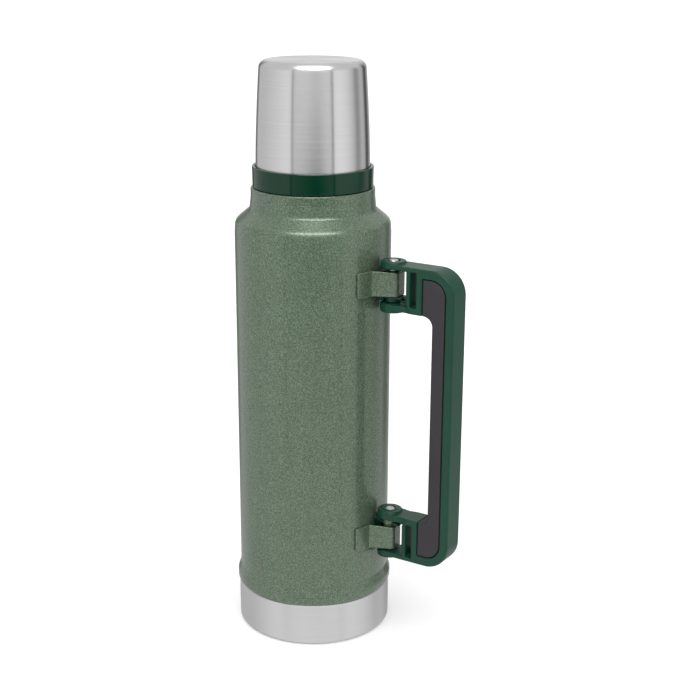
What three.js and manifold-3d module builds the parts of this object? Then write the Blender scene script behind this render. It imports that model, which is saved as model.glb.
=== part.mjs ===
// Vacuum flask of about 1.4 litres: a double-walled steel vessel on a steel base cup, a screw stopper,
// a screw-on drinking cup, and a handle that folds sideways on two brackets.
// Millimetres, +Z up. The origin is on the vessel's axis, in the plane that the flask stands on.
// The handle points along +X. Touching pieces keep a gap of FIT.
import * as THREE from 'three';
import { mergeVertices } from 'three/addons/utils/BufferGeometryUtils.js';
import Module from 'manifold-3d';

const wasm = await Module();
wasm.setup();

// ---- driving dimensions ----
const FIT = 0.3;
const ROUND = 40; // sides of a full turn

const BODY_R = 48.7;
const WALL = 0.8; // sheet thickness of both vessel walls
const SHOULDER_Z = 262; // where the straight wall ends
const NECK_Z = 277.5; // where the shoulder meets the painted neck
const NECK_R = 39.1;
const NECK_TOP_R = 38.45;
const NECK_TOP_Z = 289;
const FLARE_R = 50.6; // lowest bead of the painted shell
const SHELL_LOW_Z = 28;

const BASE_R = 49.8;
const INNER_R = 44; // inner vessel, outside
const INNER_LOW_Z = 12;
const MOUTH_R = 29.2; // bore of the mouth
const MOUTH_WALL = 1.4;
const MOUTH_TOP_Z = 316;
const SEAT_R = 26; // bore of the ledge that the stopper's gasket seals on
const SEAT_Z = 283.5;

const LEAD = 15; // all four threads: three starts, right-handed
const STARTS = 3;
const RIDGE_H = 1.4;
const RIDGE_ROOT = 1.6;
const RIDGE_CREST = 0.9;

const CUP_TOP_Z = 366;
const CUP_LOW_Z = 289.9;
const COLLAR_R = 37.45;
const COLLAR_TOP_Z = 302.5;
const CUP_SHELL_LOW_R = 35.2;
const CUP_SHELL_TOP_R = 32.7;
const CUP_SHELL_T = 0.7;
const CUP_BORE_R = 32.6;

const STOPPER_R = 27.2;
const STOPPER_HEAD_R = 30.4;
const STOPPER_TOP_Z = 330;
const STOPPER_CAP_R = 28; // bore that the cap's disc drops into
const FOAM_R = 25.2; // bore of the stopper's hollow
const FOAM_LOW_Z = SEAT_Z + 5.6;
const FOAM_TOP_Z = STOPPER_TOP_Z - 3.8;
const GASKET_BORE_R = 22;
const GASKET_TOP_Z = SEAT_Z + 3.5;

const PIN_X = 58.3; // the fold axis, parallel to Z
const PIN_R = 3;
const HANDLE_MID_Z = 153.5;
const HANDLE_HALF_H = 95.5;
const HANDLE_OUT_X = 104.2;
const HANDLE_HALF_T = 7.9;
const HANDLE_CORNER_R = 16;
const RIM_W = 5.8; // green rim outside the grip insert
const PILLAR_X = 78; // near side of the post that closes each hinge fork
const PILLAR_W = 4.4;
const GRIP_IN_X = 89.6; // finger side of the grip
const ARM_IN_H = 66.9; // finger side of each arm, from the handle's middle
const FORK_OUT_H = 92.6; // inside of each outer lug, from the handle's middle
const FORK_IN_H = 70.9; // inside of each inner lug, from the handle's middle
const KNUCKLE_TOP_H = 96.9; // pin boss on each outer lug, from the handle's middle
const KNUCKLE_LOW_H = 64.9; // pin boss on each inner lug, from the handle's middle

const STRAP_T = 1.45;
const STRAP_HALF_W = 5.85;
const STRAP_END_X = 64.1;
const STRAP_BEND = 3;
const STRAP_H = 15.6;
const STRAP_END_H = 14.8; // height of the closed end
const BRACKET_MID_Z = 153.1; // halfway between the brackets
const BRACKET_H = 83.25; // middle of each bracket, from BRACKET_MID_Z
const STRAP_TOP_H = BRACKET_H + STRAP_END_H / 2; // outer end of each bracket's sleeve
const FLANGE_TIP_Y = 20.8;
const FLANGE_BEND_Y = 11.5; // centre of the bend between a leg and its flange
const SLEEVE_R = 4.05;

// ---- materials ----
const paint = (color, roughness, metalness) => ({ color, roughness, metalness });
const HAMMERTONE = paint(0x64735f, 0.42, 0.5);
const BRUSHED = paint(0xc4c4c4, 0.35, 1);
const STEEL = paint(0xb0b2b4, 0.3, 1);
const GREEN_PLASTIC = paint(0x14402f, 0.35, 0);
const HANDLE_PLASTIC = paint(0x2c5444, 0.5, 0);
const GRIP_RUBBER = paint(0x403c40, 0.8, 0);
const BLACK_PLASTIC = paint(0x1c201f, 0.5, 0);
const SILICONE = paint(0xd8d8d2, 0.7, 0);
const FOAM = paint(0xe8dfc0, 0.9, 0);

const flask = new THREE.Group();

function addPiece(name, solid, look) {
  const mesh = new THREE.Mesh(geometryOf(solid), new THREE.MeshStandardMaterial(look));
  mesh.name = name;
  flask.add(mesh);
}

// ---- shape helpers ----
function solidOf(geometry) {
  const bare = geometry.clone();
  bare.deleteAttribute('normal');
  bare.deleteAttribute('uv');
  const merged = mergeVertices(bare, 1e-4);
  return new wasm.Manifold(new wasm.Mesh({
    numProp: 3,
    vertProperties: merged.attributes.position.array,
    triVerts: new Uint32Array(merged.index.array),
  }));
}

function geometryOf(solid) {
  const mesh = solid.getMesh();
  const geometry = new THREE.BufferGeometry();
  geometry.setAttribute('position', new THREE.BufferAttribute(mesh.vertProperties, 3));
  geometry.setIndex(new THREE.BufferAttribute(mesh.triVerts, 1));
  geometry.computeVertexNormals();
  return geometry;
}

// Points of an arc in a profile, from one angle to another in degrees.
function arc(r, z, radius, from, to, steps) {
  return Array.from({ length: steps + 1 }, (_, i) => {
    const angle = THREE.MathUtils.degToRad(from + ((to - from) * i) / steps);
    return [r + radius * Math.cos(angle), z + radius * Math.sin(angle)];
  });
}

// A solid of revolution about Z. The profile [radius, z] runs anticlockwise: up the outside, down the inside.
function revolve(profile, sides = ROUND) {
  const points = profile.map(([r, z]) => new THREE.Vector2(r, z));
  const onAxis = profile[0][0] === 0 && profile.at(-1)[0] === 0;
  if (!onAxis) points.push(points[0].clone());
  return solidOf(new THREE.LatheGeometry(points, sides).rotateX(Math.PI / 2));
}

function disc(radius, lowZ, highZ, sides = ROUND) {
  return revolve([[0, lowZ], [radius, lowZ], [radius, highZ], [0, highZ]], sides);
}

// A plan outline (x, y) raised from one height to another.
function raise(shape, lowZ, highZ, curveSegments = 8) {
  const depth = highZ - lowZ;
  const geometry = new THREE.ExtrudeGeometry(shape, { depth, bevelEnabled: false, curveSegments });
  return solidOf(geometry.translate(0, 0, lowZ));
}

// A side outline (x, z) given a thickness along Y, centred on the XZ plane.
function thicken(shape, halfThickness, curveSegments = 6) {
  const geometry = new THREE.ExtrudeGeometry(shape, {
    depth: 2 * halfThickness,
    bevelEnabled: false,
    curveSegments,
  });
  return solidOf(geometry.rotateX(Math.PI / 2).translate(0, halfThickness, 0));
}

function block([lowX, lowY, lowZ], [highX, highY, highZ]) {
  const box = new THREE.BoxGeometry(highX - lowX, highY - lowY, highZ - lowZ);
  return solidOf(box.translate((lowX + highX) / 2, (lowY + highY) / 2, (lowZ + highZ) / 2));
}

function post(x, y, radius, lowZ, highZ, sides = 20) {
  return disc(radius, lowZ, highZ, sides).translate([x, y, 0]);
}

// One helical ridge on a wall of the given radius, standing outwards (side 1) or inwards (side -1).
// It is a box wound round the axis: x is radial, y runs along the helix and z is axial.
function ridge(wallR, side, z, startDeg, sweepDeg) {
  const steps = Math.round(sweepDeg / 11);
  const geometry = new THREE.BoxGeometry(1, 1, 1, 1, steps, 1);
  const points = geometry.attributes.position;
  for (let i = 0; i < points.count; i++) {
    const along = points.getY(i) + 0.5;
    const crest = points.getX(i) * side > 0;
    const fade = Math.min(1, along * 6, (1 - along) * 6); // each end runs out into the wall
    const radius = crest ? wallR + side * RIDGE_H * fade - side * 0.1 * (1 - fade) : wallR - side * 0.6;
    const halfWidth = (crest ? RIDGE_CREST : RIDGE_ROOT) / 2;
    const angle = THREE.MathUtils.degToRad(startDeg + along * sweepDeg);
    const height = z + (LEAD * along * sweepDeg) / 360 + 2 * points.getZ(i) * halfWidth;
    points.setXYZ(i, radius * Math.cos(angle), radius * Math.sin(angle), height);
  }
  return solidOf(geometry);
}

function addThread(body, wallR, side, z, startDeg, sweepDeg) {
  let threaded = body;
  for (let i = 0; i < STARTS; i++) {
    threaded = threaded.add(ridge(wallR, side, z, startDeg + (360 * i) / STARTS, sweepDeg));
  }
  return threaded;
}

// ---- vessel ----
function outerShell() {
  const corner = 9.6; // radius of the shoulder's rounded edge
  const outside = [
    [FLARE_R - 0.7, SHELL_LOW_Z],
    [FLARE_R, SHELL_LOW_Z + 2.4],
    [FLARE_R, SHELL_LOW_Z + 6],
    [FLARE_R - 0.3, SHELL_LOW_Z + 7.9],
    [FLARE_R - 1.1, SHELL_LOW_Z + 9.2],
    [BODY_R + 0.15, SHELL_LOW_Z + 10.6],
    [BODY_R, SHELL_LOW_Z + 13],
    [BODY_R, SHOULDER_Z],
    [BODY_R - 0.5, SHOULDER_Z + 5],
    [BODY_R - 1.1, SHOULDER_Z + 6.9],
    [BODY_R - 2.4, SHOULDER_Z + 8.8],
    [BODY_R - 4.4, SHOULDER_Z + 10.6],
    [BODY_R - corner + 2.9, SHOULDER_Z + 12.4],
    [NECK_R + 1.3, SHOULDER_Z + 13.5],
    [NECK_R, NECK_Z],
    [NECK_TOP_R, NECK_Z + 7],
    [NECK_TOP_R, NECK_TOP_Z - 0.8],
    [NECK_TOP_R - 0.8, NECK_TOP_Z],
  ];
  const mouthGap = MOUTH_R + MOUTH_WALL + FIT;
  const inside = [
    [mouthGap, NECK_TOP_Z],
    [mouthGap, NECK_TOP_Z - WALL],
    [NECK_TOP_R - WALL, NECK_TOP_Z - WALL - 0.6],
    [NECK_R - WALL, NECK_Z - 1],
    [NECK_R + 1.5, SHOULDER_Z + 11.4],
    [BODY_R - 2.6, SHOULDER_Z + 7],
    [BODY_R - WALL, SHOULDER_Z],
    [BODY_R - WALL, SHELL_LOW_Z + 10],
    [FLARE_R - WALL, SHELL_LOW_Z + 7],
    [FLARE_R - WALL, SHELL_LOW_Z + 2.5],
    [BODY_R - WALL, SHELL_LOW_Z + 1],
    [BODY_R - WALL, SHELL_LOW_Z],
  ];
  return revolve([...outside, ...inside], 48);
}

// The visible foot: a brushed cup with a rounded lower edge and a pressed ring under it.
function baseCup() {
  const top = SHELL_LOW_Z - FIT;
  return revolve([
    [0, 0],
    [30, 0],
    [31, 1],
    [38, 1],
    [39, 0],
    ...arc(BASE_R - 2.2, 2.2, 2.2, -90, 0, 2),
    [BASE_R, top],
    [BODY_R - WALL - FIT, top],
    [BODY_R - WALL - FIT, top - 1],
    [BASE_R - 1, top - 1.6],
    [BASE_R - 1, 2.6],
    [BASE_R - 2.6, 1],
    [40, 1],
    [38.6, 2],
    [30.4, 2],
    [29, 1],
    [0, 1],
  ]);
}

// The dish that closes the vacuum space, with its skirt inside the painted shell.
function vacuumBottom() {
  const skirt = BODY_R - WALL - 2 * FIT - 0.1;
  return revolve([
    [0, 6],
    [skirt - 4, 4],
    [skirt, 8],
    [skirt, SHELL_LOW_Z + 10],
    [skirt - 1, SHELL_LOW_Z + 10],
    [skirt - 1, 8.4],
    [skirt - 4.2, 5],
    [0, 7],
  ]);
}

function innerVessel() {
  const bore = INNER_R - WALL;
  const neckR = MOUTH_R + MOUTH_WALL;
  const blank = revolve([
    [0, INNER_LOW_Z],
    [INNER_R - 10, INNER_LOW_Z],
    [INNER_R - 3, INNER_LOW_Z + 3],
    [INNER_R, INNER_LOW_Z + 10],
    [INNER_R, SHOULDER_Z - 14],
    [INNER_R - 3, SHOULDER_Z - 4],
    [SEAT_R + 3, SEAT_Z - 8],
    [SEAT_R + 2, SEAT_Z - 4],
    [neckR, SEAT_Z],
    [neckR, MOUTH_TOP_Z - 2],
    [neckR + 0.3, MOUTH_TOP_Z - 1.3],
    [neckR + 0.3, MOUTH_TOP_Z - 0.6],
    [neckR, MOUTH_TOP_Z],
    [MOUTH_R, MOUTH_TOP_Z],
    [MOUTH_R, SEAT_Z + 0.6],
    [MOUTH_R - 0.6, SEAT_Z],
    [SEAT_R, SEAT_Z],
    [SEAT_R, SEAT_Z - 5],
    [SEAT_R + 1.6, SEAT_Z - 9],
    [bore - 3.2, SHOULDER_Z - 4.6],
    [bore, SHOULDER_Z - 14.4],
    [bore, INNER_LOW_Z + 10],
    [bore - 3, INNER_LOW_Z + 3.8],
    [INNER_R - 10.4, INNER_LOW_Z + WALL],
    [0, INNER_LOW_Z + WALL],
  ]);
  const outside = addThread(blank, neckR, 1, 297.5, 0, 150);
  return addThread(outside, MOUTH_R, -1, 297.5, 20, 120);
}

// ---- drinking cup ----
const cupShellR = (z) =>
  THREE.MathUtils.mapLinear(z, COLLAR_TOP_Z, CUP_TOP_Z - 6, CUP_SHELL_LOW_R, CUP_SHELL_TOP_R);

function cupShell() {
  const lowZ = COLLAR_TOP_Z - 5;
  const edge = 5; // radius of the rounded top edge
  const topR = cupShellR(CUP_TOP_Z - edge);
  return revolve([
    [cupShellR(lowZ), lowZ],
    ...arc(topR - edge, CUP_TOP_Z - edge, edge, 0, 90, 4),
    [0, CUP_TOP_Z],
    [0, CUP_TOP_Z - CUP_SHELL_T],
    ...arc(topR - edge, CUP_TOP_Z - edge, edge - CUP_SHELL_T, 90, 0, 3),
    [cupShellR(lowZ) - CUP_SHELL_T, lowZ],
  ]);
}

// The plastic cup inside the steel one, with the collar that shows below it and the cup's thread.
function cupLiner() {
  const wall = 1.4;
  const skin = CUP_SHELL_T + FIT;
  const grooveOut = CUP_SHELL_LOW_R + 0.5;
  const edge = 4;
  const topZ = CUP_TOP_Z - skin;
  const topR = cupShellR(CUP_TOP_Z - 5) - skin;
  const grooveR = cupShellR(COLLAR_TOP_Z) - skin;
  const blank = revolve([
    [CUP_BORE_R + 0.6, CUP_LOW_Z],
    [COLLAR_R - 0.4, CUP_LOW_Z],
    [COLLAR_R, CUP_LOW_Z + 0.6],
    [COLLAR_R - 0.3, CUP_LOW_Z + 4],
    [COLLAR_R - 0.2, COLLAR_TOP_Z - 1.6],
    [COLLAR_R, COLLAR_TOP_Z - 1],
    [COLLAR_R - 0.5, COLLAR_TOP_Z],
    [grooveOut, COLLAR_TOP_Z],
    [grooveOut, COLLAR_TOP_Z - 5.4],
    [grooveR, COLLAR_TOP_Z - 5.4],
    [grooveR, COLLAR_TOP_Z],
    ...arc(topR - edge, topZ - edge, edge, 0, 90, 2),
    [0, topZ],
    [0, topZ - wall],
    ...arc(topR - edge, topZ - edge, edge - wall, 90, 0, 2),
    [grooveR - wall, COLLAR_TOP_Z + 10],
    [CUP_BORE_R, COLLAR_TOP_Z + 4],
    [CUP_BORE_R, CUP_LOW_Z + 0.6],
  ]);
  return addThread(blank, CUP_BORE_R, -1, 297.5 - LEAD / STARTS / 2, 10, 110);
}

// ---- stopper ----
function stopperBody() {
  const stemR = GASKET_BORE_R - FIT;
  const blank = revolve([
    [0, SEAT_Z - 1],
    [stemR + 1.5, SEAT_Z - 1],
    [stemR + 1.5, SEAT_Z + 0.1],
    [stemR, SEAT_Z + 0.1],
    [stemR, GASKET_TOP_Z + FIT],
    [STOPPER_R, GASKET_TOP_Z + FIT],
    [STOPPER_R, MOUTH_TOP_Z + 0.6],
    [STOPPER_HEAD_R, MOUTH_TOP_Z + 0.6],
    [STOPPER_HEAD_R, STOPPER_TOP_Z - 1.5],
    [STOPPER_HEAD_R - 1.5, STOPPER_TOP_Z],
    [STOPPER_CAP_R, STOPPER_TOP_Z],
    [STOPPER_CAP_R, FOAM_TOP_Z],
    [FOAM_R, FOAM_TOP_Z],
    [FOAM_R, FOAM_LOW_Z],
    [0, FOAM_LOW_Z],
  ]);
  const threaded = addThread(blank, STOPPER_R, 1, 297.5 - LEAD / STARTS / 2, 20, 110);
  const flutes = 10; // finger grips round the head
  let gripped = threaded;
  for (let i = 0; i < flutes; i++) {
    const angle = (2 * Math.PI * i) / flutes;
    const reach = STOPPER_HEAD_R + 1.6;
    const flute = post(reach * Math.cos(angle), reach * Math.sin(angle), 2.6,
      MOUTH_TOP_Z + 4, STOPPER_TOP_Z + 1, 8);
    gripped = gripped.subtract(flute);
  }
  return gripped;
}

function stopperCap() {
  const low = FOAM_TOP_Z + FIT;
  const buttonR = 20;
  return revolve([
    [0, low],
    [STOPPER_CAP_R - FIT, low],
    [STOPPER_CAP_R - FIT, STOPPER_TOP_Z],
    [buttonR, STOPPER_TOP_Z],
    [buttonR - 1.5, STOPPER_TOP_Z + 2.6],
    [0, STOPPER_TOP_Z + 3],
  ]);
}

function stopperFoam() {
  return disc(FOAM_R - FIT, FOAM_LOW_Z + FIT, FOAM_TOP_Z, 32);
}

// A ring that seals on the ledge at SEAT_Z, with its lip against the mouth's bore.
function stopperGasket() {
  const lipR = MOUTH_R - 1.8;
  return revolve([
    [GASKET_BORE_R, SEAT_Z + 0.4],
    [lipR - 0.8, SEAT_Z + 0.4],
    [lipR, SEAT_Z + 1.6],
    [lipR - 0.6, GASKET_TOP_Z],
    [GASKET_BORE_R, GASKET_TOP_Z],
  ]);
}

// ---- hinge pieces: side is 1 for the upper hinge and -1 for the lower one ----
const level = (side, h) => HANDLE_MID_Z + side * h; // height of a point h away from the handle's middle
const span = (side, h1, h2) => [level(side, h1), level(side, h2)].sort((a, b) => a - b);

// A steel strap bent round the pivot sleeve, with two flanges welded to the vessel's wall.
function bracket(side) {
  const wallR = BODY_R + FIT;
  const flangeR = wallR + STRAP_T;
  const fillet = 2;
  const bendX = Math.sqrt((flangeR + fillet) ** 2 - FLANGE_BEND_Y ** 2);
  const bendA = Math.atan2(FLANGE_BEND_Y, bendX);
  const tipA = Math.asin(FLANGE_TIP_Y / flangeR);
  const endX = STRAP_END_X - STRAP_BEND;
  const endY = STRAP_HALF_W - STRAP_BEND;
  // Each leg is the line that touches the end bend on its outside and the flange bend on its inside.
  const apart = Math.hypot(endX - bendX, FLANGE_BEND_Y - endY);
  const legA = Math.atan2(FLANGE_BEND_Y - endY, endX - bendX) - Math.asin((STRAP_BEND + fillet) / apart);
  const legNormal = Math.PI / 2 - legA;
  const plan = new THREE.Shape();
  plan.absarc(0, 0, flangeR, tipA, bendA, true);
  plan.absarc(bendX, FLANGE_BEND_Y, fillet, bendA + Math.PI, legNormal + Math.PI, false);
  plan.absarc(endX, endY, STRAP_BEND, legNormal, 0, true);
  plan.absarc(endX, -endY, STRAP_BEND, 0, -legNormal, true);
  plan.absarc(bendX, -FLANGE_BEND_Y, fillet, Math.PI - legNormal, Math.PI - bendA, false);
  plan.absarc(0, 0, flangeR, -bendA, -tipA, true);
  plan.absarc(0, 0, wallR, -tipA, -bendA, false);
  plan.absarc(bendX, -FLANGE_BEND_Y, fillet + STRAP_T, Math.PI - bendA, Math.PI - legNormal, true);
  plan.absarc(endX, -endY, STRAP_BEND - STRAP_T, -legNormal, 0, false);
  plan.absarc(endX, endY, STRAP_BEND - STRAP_T, 0, legNormal, false);
  plan.absarc(bendX, FLANGE_BEND_Y, fillet + STRAP_T, legNormal + Math.PI, Math.PI + bendA, true);
  plan.absarc(0, 0, wallR, bendA, tipA, false);
  const mid = BRACKET_MID_Z + side * BRACKET_H;
  const strap = raise(plan, mid - STRAP_H / 2, mid + STRAP_H / 2, 4);
  return strap.intersect(flangeOutline(mid)).intersect(strapTaper(mid));
}

// A prism along X with rounded corners, which rounds the flanges' tips.
function flangeOutline(mid) {
  const r = 3.5;
  const y = FLANGE_TIP_Y - r;
  const z = STRAP_H / 2 - r;
  const quarter = Math.PI / 2;
  const outline = new THREE.Shape();
  outline.absarc(y, -z, r, -quarter, 0, false);
  outline.absarc(y, z, r, 0, quarter, false);
  outline.absarc(-y, z, r, quarter, 2 * quarter, false);
  outline.absarc(-y, -z, r, 2 * quarter, 3 * quarter, false);
  const depth = 40;
  const geometry = new THREE.ExtrudeGeometry(outline, { depth, bevelEnabled: false, curveSegments: 4 });
  geometry.rotateX(Math.PI / 2).rotateZ(Math.PI / 2);
  return solidOf(geometry.translate(STRAP_END_X - depth + 1, 0, mid));
}

// The side outline of the strap, which gets lower towards its closed end.
function strapTaper(mid) {
  const wide = STRAP_H / 2 + 1;
  const outline = new THREE.Shape();
  outline.moveTo(BODY_R - 10, mid - wide);
  outline.lineTo(BODY_R + 1, mid - STRAP_H / 2);
  outline.lineTo(STRAP_END_X + 1, mid - STRAP_END_H / 2);
  outline.lineTo(STRAP_END_X + 1, mid + STRAP_END_H / 2);
  outline.lineTo(BODY_R + 1, mid + STRAP_H / 2);
  outline.lineTo(BODY_R - 10, mid + wide);
  return thicken(outline, FLANGE_TIP_Y + 5);
}

// Each sleeve fills its bracket's closed end and stands out of it towards the handle's middle.
function sleeve(side) {
  const [low, high] = span(side, STRAP_TOP_H + 0.2, FORK_IN_H + 0.4);
  return post(PIN_X, 0, SLEEVE_R, low, high).subtract(post(PIN_X, 0, PIN_R + FIT, low - 1, high + 1));
}

// A ribbed plastic block between the sleeve and the wall, which steadies the handle.
function detentBlock(side) {
  const [low, high] = span(side, STRAP_TOP_H - 0.6, FORK_IN_H + 0.6);
  const halfW = STRAP_HALF_W - STRAP_T - FIT;
  const x0 = BODY_R + 2 * FIT;
  const x1 = PIN_X - SLEEVE_R - FIT;
  const tooth = 1.1;
  const plan = new THREE.Shape();
  plan.moveTo(x0, -halfW);
  for (let i = 0; i < 3; i++) {
    const x = x0 + 0.5 + i * 1.4;
    plan.lineTo(x, -halfW);
    plan.lineTo(x + tooth / 2, -halfW + 0.7);
    plan.lineTo(x + tooth, -halfW);
  }
  plan.lineTo(x1, -halfW);
  plan.lineTo(x1, halfW);
  for (let i = 2; i >= 0; i--) {
    const x = x0 + 0.5 + i * 1.4;
    plan.lineTo(x + tooth, halfW);
    plan.lineTo(x + tooth / 2, halfW - 0.7);
    plan.lineTo(x, halfW);
  }
  plan.lineTo(x0, halfW);
  return raise(plan, low, high);
}

function hingePin(side) {
  const [low, high] = span(side, KNUCKLE_TOP_H + 0.2, KNUCKLE_LOW_H + 0.2);
  const bevel = 0.4;
  return revolve([
    [0, low],
    [PIN_R - bevel, low],
    [PIN_R, low + bevel],
    [PIN_R, high - bevel],
    [PIN_R - bevel, high],
    [0, high],
  ], 24).translate([PIN_X, 0, 0]);
}

// ---- handle ----
// The green frame's side outline: two arms, the outer rim, and a fork with two lugs at each end.
function frameOutline() {
  const outline = new THREE.Shape();
  const top = level(1, HANDLE_HALF_H);
  const low = level(-1, HANDLE_HALF_H);
  const r = HANDLE_CORNER_R;
  const pillarX = PILLAR_X + PILLAR_W;
  const rimX = HANDLE_OUT_X - RIM_W;
  const inR = r - RIM_W;
  outline.moveTo(PIN_X, level(1, FORK_OUT_H));
  outline.lineTo(PIN_X, top);
  outline.absarc(HANDLE_OUT_X - r, top - r, r, Math.PI / 2, 0, true);
  outline.absarc(HANDLE_OUT_X - r, low + r, r, 0, -Math.PI / 2, true);
  outline.lineTo(PIN_X, low);
  outline.lineTo(PIN_X, level(-1, FORK_OUT_H));
  outline.lineTo(PILLAR_X, level(-1, FORK_OUT_H));
  outline.lineTo(PILLAR_X, level(-1, FORK_IN_H));
  outline.lineTo(PIN_X, level(-1, FORK_IN_H));
  outline.lineTo(PIN_X, level(-1, ARM_IN_H));
  outline.lineTo(pillarX, level(-1, ARM_IN_H));
  outline.lineTo(pillarX, low + RIM_W);
  outline.absarc(rimX - inR, low + r, inR, -Math.PI / 2, 0, false);
  outline.absarc(rimX - inR, top - r, inR, 0, Math.PI / 2, false);
  outline.lineTo(pillarX, top - RIM_W);
  outline.lineTo(pillarX, level(1, ARM_IN_H));
  outline.lineTo(PIN_X, level(1, ARM_IN_H));
  outline.lineTo(PIN_X, level(1, FORK_IN_H));
  outline.lineTo(PILLAR_X, level(1, FORK_IN_H));
  outline.lineTo(PILLAR_X, level(1, FORK_OUT_H));
  return outline;
}

// The rib of the frame that the grip insert is moulded onto.
function spine(clearance) {
  const rimX = HANDLE_OUT_X - RIM_W;
  const halfH = HANDLE_HALF_H - HANDLE_CORNER_R + clearance;
  const halfT = 3.5 + clearance;
  return block([rimX - 4.5 - clearance, -halfT, level(-1, halfH)], [rimX + 1, halfT, level(1, halfH)]);
}

function handleFrame() {
  const flexBarX = 71.8;
  const flexBarW = 2.9;
  const waistX = 69.5;
  const waistR = 9;
  const waistHalfW = 6.4; // what the waist's two cuts leave of the inner lug
  let frame = thicken(frameOutline(), HANDLE_HALF_T).add(spine(0));
  for (const side of [1, -1]) {
    const outer = span(side, FORK_OUT_H, KNUCKLE_TOP_H);
    const inner = span(side, KNUCKLE_LOW_H, FORK_IN_H);
    const fork = span(side, FORK_IN_H - 0.5, FORK_OUT_H + 0.5);
    const bar = block([flexBarX, -HANDLE_HALF_T, fork[0]], [flexBarX + flexBarW, HANDLE_HALF_T, fork[1]]);
    frame = frame.add(post(PIN_X, 0, HANDLE_HALF_T, ...outer));
    frame = frame.add(post(PIN_X, 0, HANDLE_HALF_T, ...inner));
    for (const y of [-waistR - waistHalfW, waistR + waistHalfW]) {
      frame = frame.subtract(post(waistX, y, waistR, inner[0] - 1, inner[1] + 0.01));
    }
    frame = frame.add(bar);
    const bore = span(side, KNUCKLE_LOW_H - 1, KNUCKLE_TOP_H + 1);
    frame = frame.subtract(post(PIN_X, 0, PIN_R + FIT, ...bore));
  }
  return frame;
}

function gripInsert() {
  const gap = 0.4;
  const left = PILLAR_X + PILLAR_W + gap;
  const top = level(1, HANDLE_HALF_H - RIM_W - gap);
  const low = level(-1, HANDLE_HALF_H - RIM_W - gap);
  const out = HANDLE_OUT_X - RIM_W - gap;
  const r = HANDLE_CORNER_R - RIM_W - gap;
  const fillet = 6;
  const inX = GRIP_IN_X;
  const outline = new THREE.Shape();
  outline.moveTo(left, level(1, ARM_IN_H));
  outline.lineTo(left, top);
  outline.absarc(out - r, top - r, r, Math.PI / 2, 0, true);
  outline.absarc(out - r, low + r, r, 0, -Math.PI / 2, true);
  outline.lineTo(left, low);
  outline.lineTo(left, level(-1, ARM_IN_H));
  outline.absarc(inX - fillet, level(-1, ARM_IN_H - fillet), fillet, -Math.PI / 2, 0, false);
  outline.absarc(inX - fillet, level(1, ARM_IN_H - fillet), fillet, 0, Math.PI / 2, false);
  return thicken(outline, HANDLE_HALF_T).subtract(spine(gap));
}

// ---- assembly ----
addPiece('outer_shell', outerShell(), HAMMERTONE);
addPiece('base_cup', baseCup(), BRUSHED);
addPiece('vacuum_bottom', vacuumBottom(), STEEL);
addPiece('inner_vessel', innerVessel(), STEEL);
addPiece('getter', disc(6, INNER_LOW_Z - 3.3, INNER_LOW_Z - FIT, 20), STEEL);
addPiece('cup_shell', cupShell(), BRUSHED);
addPiece('cup_liner', cupLiner(), GREEN_PLASTIC);
addPiece('stopper_body', stopperBody(), BLACK_PLASTIC);
addPiece('stopper_cap', stopperCap(), GREEN_PLASTIC);
addPiece('stopper_foam', stopperFoam(), FOAM);
addPiece('stopper_gasket', stopperGasket(), SILICONE);
for (const [where, side] of [['upper', 1], ['lower', -1]]) {
  addPiece(where + '_bracket', bracket(side), HAMMERTONE);
  addPiece(where + '_pivot_sleeve', sleeve(side), HAMMERTONE);
  addPiece(where + '_detent_block', detentBlock(side), GREEN_PLASTIC);
  addPiece(where + '_hinge_pin', hingePin(side), BRUSHED);
}
addPiece('handle_frame', handleFrame(), HANDLE_PLASTIC);
addPiece('grip_insert', gripInsert(), GRIP_RUBBER);

export default flask;
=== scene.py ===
"""Looks for a vacuum flask with a folding handle, a steel drinking cup and a screw stopper.

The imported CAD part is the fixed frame. Each piece that shows is rebuilt here as a smooth mesh that
rides on its CAD body. Lengths are in millimetres until a mesh is made, which is in metres.
"""
import math

import bmesh
import bpy
import numpy as np
from mathutils import Matrix, Vector


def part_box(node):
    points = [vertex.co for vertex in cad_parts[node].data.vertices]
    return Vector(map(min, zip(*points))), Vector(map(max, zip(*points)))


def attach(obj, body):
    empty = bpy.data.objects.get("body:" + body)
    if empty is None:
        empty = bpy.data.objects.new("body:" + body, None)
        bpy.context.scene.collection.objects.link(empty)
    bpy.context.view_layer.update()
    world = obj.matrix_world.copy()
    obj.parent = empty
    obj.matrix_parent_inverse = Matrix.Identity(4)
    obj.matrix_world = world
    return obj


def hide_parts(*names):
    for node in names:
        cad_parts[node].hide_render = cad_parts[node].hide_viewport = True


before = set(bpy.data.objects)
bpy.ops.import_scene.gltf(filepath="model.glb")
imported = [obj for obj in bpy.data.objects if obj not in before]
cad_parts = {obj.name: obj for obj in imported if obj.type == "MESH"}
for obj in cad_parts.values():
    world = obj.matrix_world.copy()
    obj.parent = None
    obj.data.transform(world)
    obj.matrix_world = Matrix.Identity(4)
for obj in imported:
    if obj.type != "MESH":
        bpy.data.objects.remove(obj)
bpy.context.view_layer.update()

MM = 0.001
X, Y, Z = 0, 1, 2


def low(node, axis):
    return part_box(node)[0][axis] / MM


def high(node, axis):
    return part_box(node)[1][axis] / MM


def corners(node):
    """The lowest and highest corner of a CAD node's box."""
    return [[v / MM for v in corner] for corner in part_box(node)]


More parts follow.
